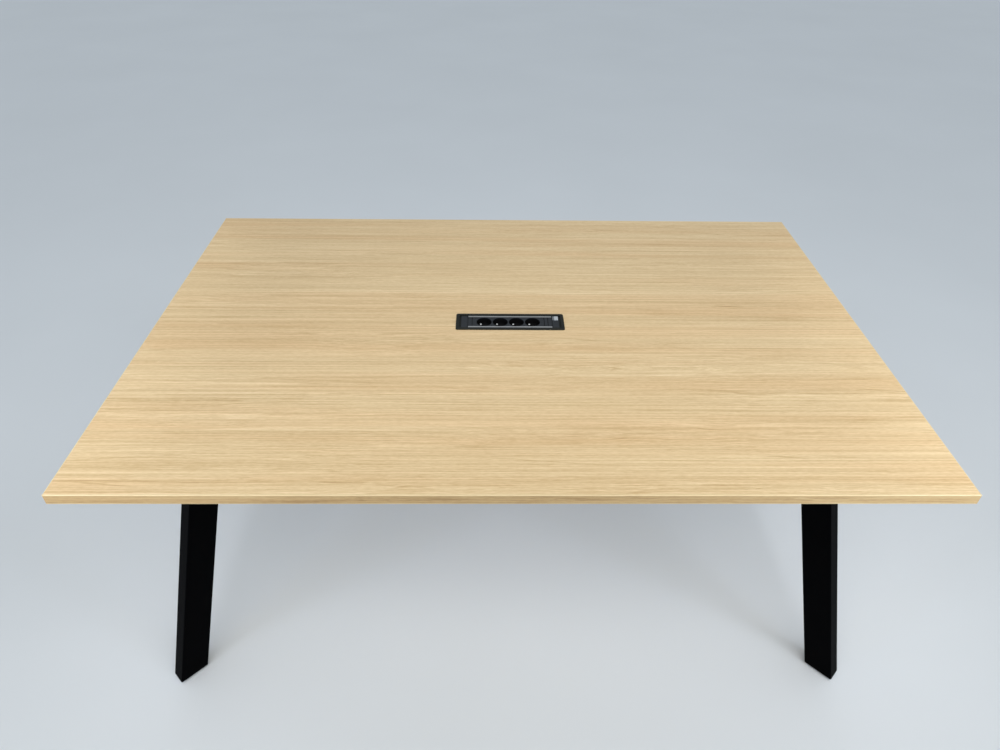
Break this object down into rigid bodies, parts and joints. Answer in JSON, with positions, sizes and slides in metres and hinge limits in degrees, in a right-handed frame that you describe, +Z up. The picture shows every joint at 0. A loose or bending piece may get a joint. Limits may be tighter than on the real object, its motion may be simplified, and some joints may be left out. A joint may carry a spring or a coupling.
{
  "type": "conference table",
  "caption": "Rectangular conference table: oak-decor top on splayed black steel legs, with a mains socket unit let into its middle.",
  "frame": {"origin": "on the floor, under the middle of the top", "axes": "+X along the table to the right seen from the front, +Y from front to back, +Z up"},
  "size_m": [1.8, 1.2, 0.7425],
  "materials": {
    "oak_decor": "matt melamine with light oak grain along the length",
    "oak_edging": "ABS edging with the same oak decor",
    "black_legs": "fine-textured black powder coat",
    "black_steel": "fine-textured black powder coat",
    "black_plastic": "moulded, matt",
    "zinc_steel": "bright zinc plate",
    "brass": "bare",
    "nickel": "nickel plate",
    "bezel_coating": "anthracite powder coat",
    "anodised_aluminium": "satin anodised",
    "unit_plastic": "moulded, fine texture",
    "shutter_plastic": "moulded, smooth"
  },
  "bodies": {
    "table": {"top_panel": "oak_decor", "edge_band_front": "oak_edging", "edge_band_back": "oak_edging", "edge_band_left": "oak_edging", "edge_band_right": "oak_edging", "long_rail_front": "black_steel", "long_rail_back": "black_steel", "cross_rail_left": "black_steel", "cross_rail_right": "black_steel", "rail_end_caps": "black_plastic", "leg_bolts": "zinc_steel", "weld_nuts": "zinc_steel", "top_screws": "zinc_steel", "top_fixing_tabs": "black_steel", "foot_inserts": "brass", "power_bezel": "bezel_coating", "socket_channel": "anodised_aluminium", "end_cap_left": "unit_plastic", "end_cap_right": "unit_plastic", "blank_left": "unit_plastic", "blank_right": "unit_plastic", "contact_base": "black_plastic", "live_busbar": "brass", "neutral_busbar": "brass", "earth_busbar": "brass", "earth_pins": "nickel", "unit_clamps": "zinc_steel", "unit_screws": "zinc_steel", "power_inlet": "black_plastic", "inlet_blades": "nickel", "leg_front_left": "black_legs", "leg_plate_front_left": "black_steel", "foot_cap_front_left": "black_plastic", "leg_front_right": "black_legs", "leg_plate_front_right": "black_steel", "foot_cap_front_right": "black_plastic", "leg_back_left": "black_legs", "leg_plate_back_left": "black_steel", "foot_cap_back_left": "black_plastic", "leg_back_right": "black_legs", "leg_plate_back_right": "black_steel", "foot_cap_back_right": "black_plastic", "socket_1": "unit_plastic", "socket_2": "unit_plastic", "socket_3": "unit_plastic", "socket_4": "unit_plastic"},
    "foot_front_left": {"levelling_foot_front_left": "black_plastic"},
    "foot_front_right": {"levelling_foot_front_right": "black_plastic"},
    "foot_back_left": {"levelling_foot_back_left": "black_plastic"},
    "foot_back_right": {"levelling_foot_back_right": "black_plastic"},
    "shutter_body_1": {"shutter_1": "shutter_plastic"},
    "shutter_body_2": {"shutter_2": "shutter_plastic"},
    "shutter_body_3": {"shutter_3": "shutter_plastic"},
    "shutter_body_4": {"shutter_4": "shutter_plastic"}
  },
  "joints": [
    {"name": "level_front_left", "type": "slide", "parent": "table", "child": "foot_front_left", "axis": [0, 0, -1], "range_m": [0, 0.012]},
    {"name": "level_front_right", "type": "slide", "parent": "table", "child": "foot_front_right", "axis": [0, 0, -1], "range_m": [0, 0.012]},
    {"name": "level_back_left", "type": "slide", "parent": "table", "child": "foot_back_left", "axis": [0, 0, -1], "range_m": [0, 0.012]},
    {"name": "level_back_right", "type": "slide", "parent": "table", "child": "foot_back_right", "axis": [0, 0, -1], "range_m": [0, 0.012]},
    {"name": "shutter_slide_1", "type": "slide", "parent": "table", "child": "shutter_body_1", "axis": [0.8192, 0.5736, 0], "range_m": [0, 0.007], "stiffness_N_per_m": 150, "springref_m": -0.004},
    {"name": "shutter_slide_2", "type": "slide", "parent": "table", "child": "shutter_body_2", "axis": [0.8192, 0.5736, 0], "range_m": [0, 0.007], "stiffness_N_per_m": 150, "springref_m": -0.004},
    {"name": "shutter_slide_3", "type": "slide", "parent": "table", "child": "shutter_body_3", "axis": [0.8192, 0.5736, 0], "range_m": [0, 0.007], "stiffness_N_per_m": 150, "springref_m": -0.004},
    {"name": "shutter_slide_4", "type": "slide", "parent": "table", "child": "shutter_body_4", "axis": [0.8192, 0.5736, 0], "range_m": [0, 0.007], "stiffness_N_per_m": 150, "springref_m": -0.004}
  ]
}
